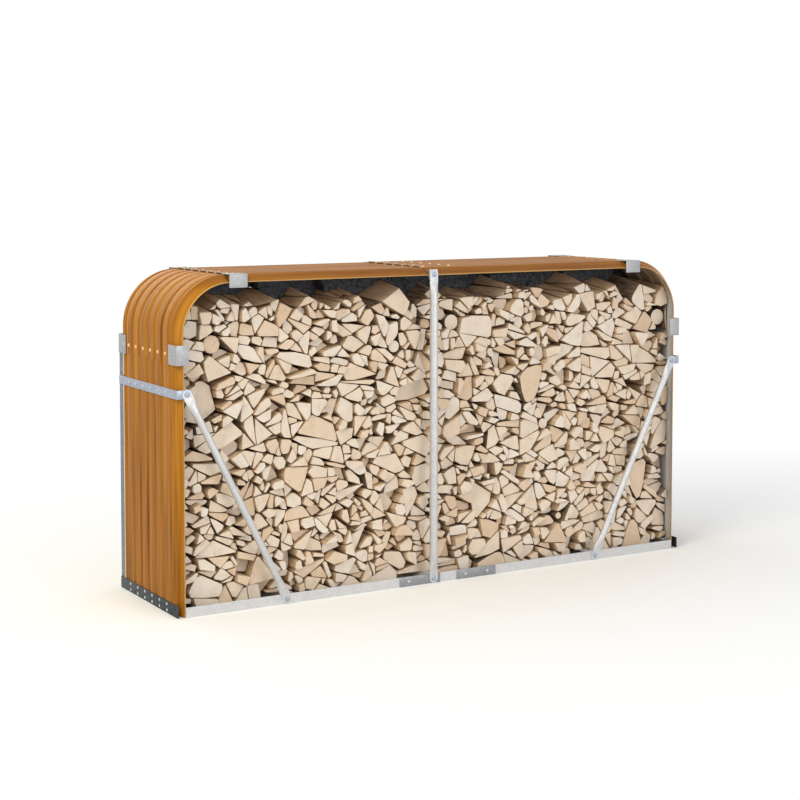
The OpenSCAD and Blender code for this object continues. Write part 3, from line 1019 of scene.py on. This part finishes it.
def slack():
    """How far a log stays short of its neighbour."""
    return 0.0005 + min(0.006, abs(axe.gauss(0.0005, 0.0018)))


def log_cuts(outline):
    """The cuts round a log, each a little short of its neighbour, with knocked corners and crooked sides."""
    area, middle = area_and_middle(outline)
    cuts = []
    for (a, wall), (b, _) in sides_of(outline):
        start, end = (a, b) if wall.held else (a - wall.normal * slack(), b - wall.normal * slack())
        way = wall.normal
        if (b - a).length > shortest_side:
            way = turned((end - start).normalized(), 90)
            way = way if way.dot(wall.normal) > 0 else -way
        cuts.append((start, way, wall.lean, wall.barked))
        if (b - a).length > crooked_side and axe.random() < 0.5:
            crook = axe.choice((-1, 1)) * axe.uniform(4, 13)
            bend = start.lerp(end, axe.uniform(0.35, 0.65))
            cuts.append((bend, turned(way, crook), wall.lean, wall.barked))
    if axe.random() < 0.5:
        corner = axe.choice(outline)[0]
        way = (corner - middle).normalized()
        depth = axe.uniform(0.08, 0.24) * math.sqrt(area)
        cuts.append((corner - way * depth, turned(way, axe.gauss(0, 14)), axe.gauss(0, 0.03), False))
    return cuts + knocked_corners(outline)


def knocked_corners(outline):
    """Cuts that take off every sharp corner of a log and many of the blunt ones."""
    points = [corner for corner, _ in outline]
    cuts = []
    for before, corner, after in zip(points[-1:] + points[:-1], points, points[1:] + points[:1]):
        arms = (before - corner, after - corner)
        shorter = min(arm.length for arm in arms)
        if shorter < shortest_side:
            continue
        way = -(arms[0].normalized() + arms[1].normalized()).normalized()
        half_angle = arms[0].angle(arms[1]) / 2
        if half_angle < math.radians(40) or axe.random() < 0.6:
            depth = axe.uniform(0.004, 0.010) / math.tan(half_angle)
            point = corner - way * min(depth, 0.4 * shorter)
            cuts.append((point, turned(way, axe.gauss(0, 13)), axe.gauss(0, 0.03), False))
    return cuts


def slice_off(point, normal):
    bpy.ops.mesh.select_all(action="SELECT")
    bpy.ops.mesh.bisect(plane_co=point, plane_no=normal, use_fill=True, clear_outer=True)


def split_log(outline, pith, held, filler):
    """A block of wood cut to its outline, sawn off a little unevenly at both ends.

    Each cut is a point and a direction in the front view, its lean, and whether it leaves bark."""
    middle = area_and_middle(outline)[1]
    cuts = [(a, wall.normal, wall.lean, False) for a, wall in outline] if filler else log_cuts(outline)
    if any(corner.y > arc_z for corner, _ in outline):
        used = [wall for _, wall in outline]
        cuts += [(wall.point, wall.normal, 0.0, False) for wall in held[3:] if wall not in used]
    front = wood_front + axe.gauss(0, 0.007)
    luck = axe.random()
    if filler:
        front = axe.uniform(-0.10, 0.03)
    elif luck < 0.12:
        front += axe.uniform(0.012, 0.050)
    elif luck > 0.94:
        front -= axe.uniform(0.008, 0.020)
    bpy.ops.mesh.primitive_cube_add(size=block, enter_editmode=True, location=(0, 0, 0))
    piece = bpy.context.object
    for point, way, lean, _ in cuts:
        slice_off((point.x, 0, point.y), (way.x, lean, way.y))
    slice_off((middle.x, front, middle.y), (axe.gauss(0, 0.035), -1, axe.gauss(0, 0.035)))
    back = wood_back - abs(axe.gauss(0, 0.008))
    slice_off((middle.x, back, middle.y), (axe.gauss(0, 0.03), 1, axe.gauss(0, 0.03)))
    bpy.ops.mesh.select_all(action="SELECT")
    bpy.ops.mesh.fill_holes(sides=0)
    barked = [Vector((way.x, lean, way.y)).normalized() for _, way, lean, rough in cuts if rough]
    if barked:
        round_bark(piece, barked)
    soften_ends(piece, 0.0015, clamped=True)
    if not piece.data.polygons:
        bpy.data.objects.remove(piece)
        return None
    mark_log(piece, barked, pith, filler)
    return piece


def soften_ends(piece, width, clamped):
    """Breaks the edges round both sawn ends."""
    pick(piece, "edges", lambda e: sum(abs(f.normal.y) > 0.9 for f in e.link_faces) == 1)
    bpy.ops.mesh.bevel(offset=width, segments=1, affect="EDGES", clamp_overlap=clamped)
    begin(piece)


def round_bark(piece, barked):
    """Rounds off the long corners between two barked sides."""
    is_bark = lambda f: any(f.normal.dot(way) > 0.999 for way in barked)
    is_long = lambda e: abs(e.verts[0].co.y - e.verts[1].co.y) > 0.1
    pick(piece, "edges", lambda e: is_long(e) and all(map(is_bark, e.link_faces)))
    bpy.ops.mesh.bevel(offset_type="PERCENT", offset_pct=38, segments=3, affect="EDGES")


def mark_log(piece, barked, pith, filler):
    """End grain on the sawn ends, bark where the round was barked, and split wood elsewhere.

    The fillers are dark all over but for their sawn backs: painted shade for the dark space under the roof."""
    coat(piece, grain, riven, rind, shade_dark_wood)
    for face in piece.data.polygons:
        # Painted shade: the fillers' fronts and sides take the dark wood.
        if filler and face.normal.y < 0.5:
            face.material_index = 3
        elif abs(face.normal.y) < 0.5:
            face.material_index = 2 if any(face.normal.dot(way) > 0.93 for way in barked) else 1
    mark_wood(piece, pith)


def mark_wood(piece, pith):
    """Stores one tone for the whole log, and where the middle of its growth rings is."""
    points = len(piece.data.vertices)
    store(piece, "tone", [axe.random()] * points)
    store(piece, "pith", [pith.x, 0.0, pith.y] * points, "FLOAT_VECTOR", "vector")


def round_stick(outline):
    """Thin round stick that fills a hole between the logs."""
    middle = area_and_middle(outline)[1]
    radius = min(abs(wall.height(middle)) for _, wall in outline) - 0.001
    begin()
    bpy.ops.mesh.primitive_cylinder_add(
        vertices=12, radius=radius, depth=wood_back - wood_front - 0.012,
        location=(middle.x, axe.uniform(0, 0.01), middle.y), rotation=(math.pi / 2, 0, 0))
    piece = settle(bpy.context.object)
    edit(piece)
    soften_ends(piece, 0.0012, clamped=False)
    coat(piece, grain, riven, rind)
    for face in piece.data.polygons:
        face.material_index = 0 if abs(face.normal.y) > 0.5 else 2
    mark_wood(piece, middle)
    return piece


def stack_firewood():
    """Two bays of split logs, one on each side of the post, stacked an armful at a time."""
    bays = {"left": [], "right": []}
    outlines, held = stack_outlines()
    begin()
    for outline, pith, kind in outlines:
        side_name = "left" if area_and_middle(outline)[1].x < post_x else "right"
        log = round_stick(outline) if kind == "stick" else split_log(outline, pith, held, kind == "filler")
        if log:
            bays[side_name].append(log)
        if len(bays[side_name]) > armful:
            bays[side_name] = [join(bays[side_name], side_name + "_log_stack")]
    for side_name, logs in bays.items():
        finish_piece(join(logs, side_name + "_log_stack"), "split_wood", side_name + "_firewood")


# -------- floor, light and camera


def sky():
    """Soft, even studio light, plain white wherever the camera, a mirror or glass looks."""
    world = bpy.data.worlds.new("studio")
    world.use_nodes = True
    tree = world.node_tree
    path = tree.nodes.new("ShaderNodeLightPath")
    seen = path.outputs["Is Camera Ray"]
    for ray in ("Is Glossy Ray", "Is Transmission Ray"):
        either = tree.nodes.new("ShaderNodeMath")
        either.operation = "MAXIMUM"
        tree.links.new(seen, either.inputs[0])
        tree.links.new(path.outputs[ray], either.inputs[1])
        seen = either.outputs[0]
    light = tree.nodes["Background"]
    light.inputs["Color"].default_value = (0.93, 0.965, 1.0, 1)
    light.inputs["Strength"].default_value = 0.66
    white = tree.nodes.new("ShaderNodeBackground")
    white.inputs["Color"].default_value = (1, 1, 1, 1)
    mix = tree.nodes.new("ShaderNodeMixShader")
    for socket, source in enumerate((seen, light.outputs[0], white.outputs[0])):
        tree.links.new(source, mix.inputs[socket])
    tree.links.new(mix.outputs[0], tree.nodes["World Output"].inputs["Surface"])
    bpy.context.scene.world = world


def floor():
    """Pale floor that fades out into the background."""
    begin()
    bpy.ops.mesh.primitive_circle_add(vertices=96, radius=9, fill_type="NGON", location=(0, 0, -0.0005))
    piece = settle(bpy.context.object)
    piece.name = "floor"
    finish = Finish("pale_floor")
    across = finish.stretch(finish.place, (0.5, 1, 1))
    distance = finish.add("ShaderNodeVectorMath", {0: across}, operation="LENGTH").outputs["Value"]
    fade = finish.level(distance, 0.0, 1.0, 0.7, 2.6)
    finish.set(Base_Color=(0.96, 0.96, 0.96, 1), Roughness=0.9, Specular_IOR_Level=0.1)
    clear = finish.add("ShaderNodeBsdfTransparent")
    mix = finish.add("ShaderNodeMixShader", {0: fade, 1: finish.shader.outputs[0], 2: clear.outputs[0]})
    output = next(n for n in finish.tree.nodes if n.type == "OUTPUT_MATERIAL")
    finish.tree.links.new(mix.outputs[0], output.inputs["Surface"])
    coat(piece, finish.material)


def softbox(name, place, aim, size, watts, colour):
    """Square area lamp that looks at a point."""
    begin()
    bpy.ops.object.light_add(type="AREA", location=place)
    lamp = bpy.context.object
    lamp.name = name
    lamp.data.size = size
    lamp.data.energy = watts
    lamp.data.color = colour
    lamp.rotation_euler = (Vector(aim) - Vector(place)).to_track_quat("-Z", "Y").to_euler()


def camera():
    """Stands to the left of the front, a little above the roof."""
    yaw, pitch = math.radians(30.566), math.radians(3.593)
    begin()
    bpy.ops.object.camera_add(location=(-3.984, -6.632, 1.811), rotation=(math.pi / 2 - pitch, 0, -yaw))
    view = bpy.context.object
    view.data.lens = 76.26
    view.data.shift_y = -0.15
    bpy.context.scene.camera = view


# -------- putting it together

paint = wood_look_paint()
primer = back_coat()
cut_edge_and_highlight_paint = cut_edge_and_highlight()
zinc = galvanised("galvanised_zinc", (0.51, 0.515, 0.53), (0.58, 0.585, 0.60), 0.45)
# Darker copy of the galvanised zinc for the clips: painted shade.
shaded_clip_zinc = galvanised("shaded_clip_zinc", (0.345, 0.350, 0.365), (0.395, 0.400, 0.415), 0.48)
# Darker, bluer copy of the galvanised zinc for the bands and bolts: painted shade and painted sky
# reflection.
sky_shaded_zinc = galvanised("sky_shaded_zinc", (0.30, 0.345, 0.43), (0.39, 0.435, 0.52), 0.42)
shaded_zinc = galvanised("shaded_zinc", (0.16, 0.18, 0.21), (0.23, 0.25, 0.28), 0.50)
# Darker copy of the galvanised zinc for the splice plates: painted shade.
splice_shaded_zinc = galvanised("splice_shaded_zinc", (0.23, 0.24, 0.265), (0.30, 0.31, 0.34), 0.45)
# Near-black copy of the galvanised zinc for the foot strips: painted shade.
foot_shaded_zinc = galvanised("foot_shaded_zinc", (0.020, 0.026, 0.040), (0.045, 0.054, 0.076), 0.45)
grain = end_grain()
riven = split_side()
rind = bark("bark", (0.100, 0.067, 0.044), (0.220, 0.156, 0.105), (0.330, 0.250, 0.180),
            (0.210, 0.190, 0.155))
# Dark bluish grey wood for the fillers: painted shade, not the wood's own colour.
shade_dark_wood = bark("painted_shade_wood", (0.030, 0.033, 0.040), (0.075, 0.080, 0.092), (0.120, 0.125, 0.135),
                 (0.070, 0.078, 0.090))

painted_screw = fastening("painted_screw", screw_paint(), (0.0080, 0.0014, 20), (0.0042, 0.0032, 0.0009))
zinc_screw = fastening("zinc_screw", zinc, (0.0066, 0.0014, 20), (0.0042, 0.0016, 0.0009))
zinc_bolt = fastening("zinc_bolt", sky_shaded_zinc, (0.0125, 0.0012, 24), (0.0088, 0.0038, 0.0008))

side_sheet("left_side_sheet", -1, layer_left_side, 0.0)
corner_sheet("left_corner_sheet", -1, layer_left_corner, 3.1)
roof_sheet("left_roof_sheet", -roof_end, roof_lap, layer_left_roof, 6.3, [(-roof_lap, -1)])
roof_sheet("right_roof_sheet", -roof_lap, roof_end, layer_right_roof, 9.2, [(-corner_end, -1)])
corner_sheet("right_corner_sheet", 1, layer_right_corner, 12.7)
side_sheet("right_side_sheet", 1, layer_right_side, 15.4)
edge_clips()
side_bands()
foot_strips()
splice_plates()
posts_and_braces()
seam_screws()
stack_firewood()

for model in (painted_screw, zinc_screw, zinc_bolt):
    bpy.data.objects.remove(model)

for name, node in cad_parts.items():
    if not node.hide_render:
        node.data.materials.clear()
        coat(node, shaded_zinc if name.endswith("edge_strip") else zinc)

floor()
sky()
softbox("key", (1.5, -8.0, 2.5), (0, 0, 0.7), 4.0, 215, (1.0, 0.97, 0.93))
softbox("fill", (-7.0, -3.0, 3.0), (0, 0, 0.7), 4.0, 45, (1.0, 0.98, 0.95))
softbox("arch", (-4.5, -2.5, 5.0), (-1.2, 0, 1.2), 3.0, 180, (1.0, 0.90, 0.66))
softbox("rim", (-1.3, 5.6, 3.7), (-0.8, 0, 1.2), 4.0, 110, (1.0, 0.93, 0.74))
camera()
bpy.context.scene.view_settings.view_transform = "Standard"
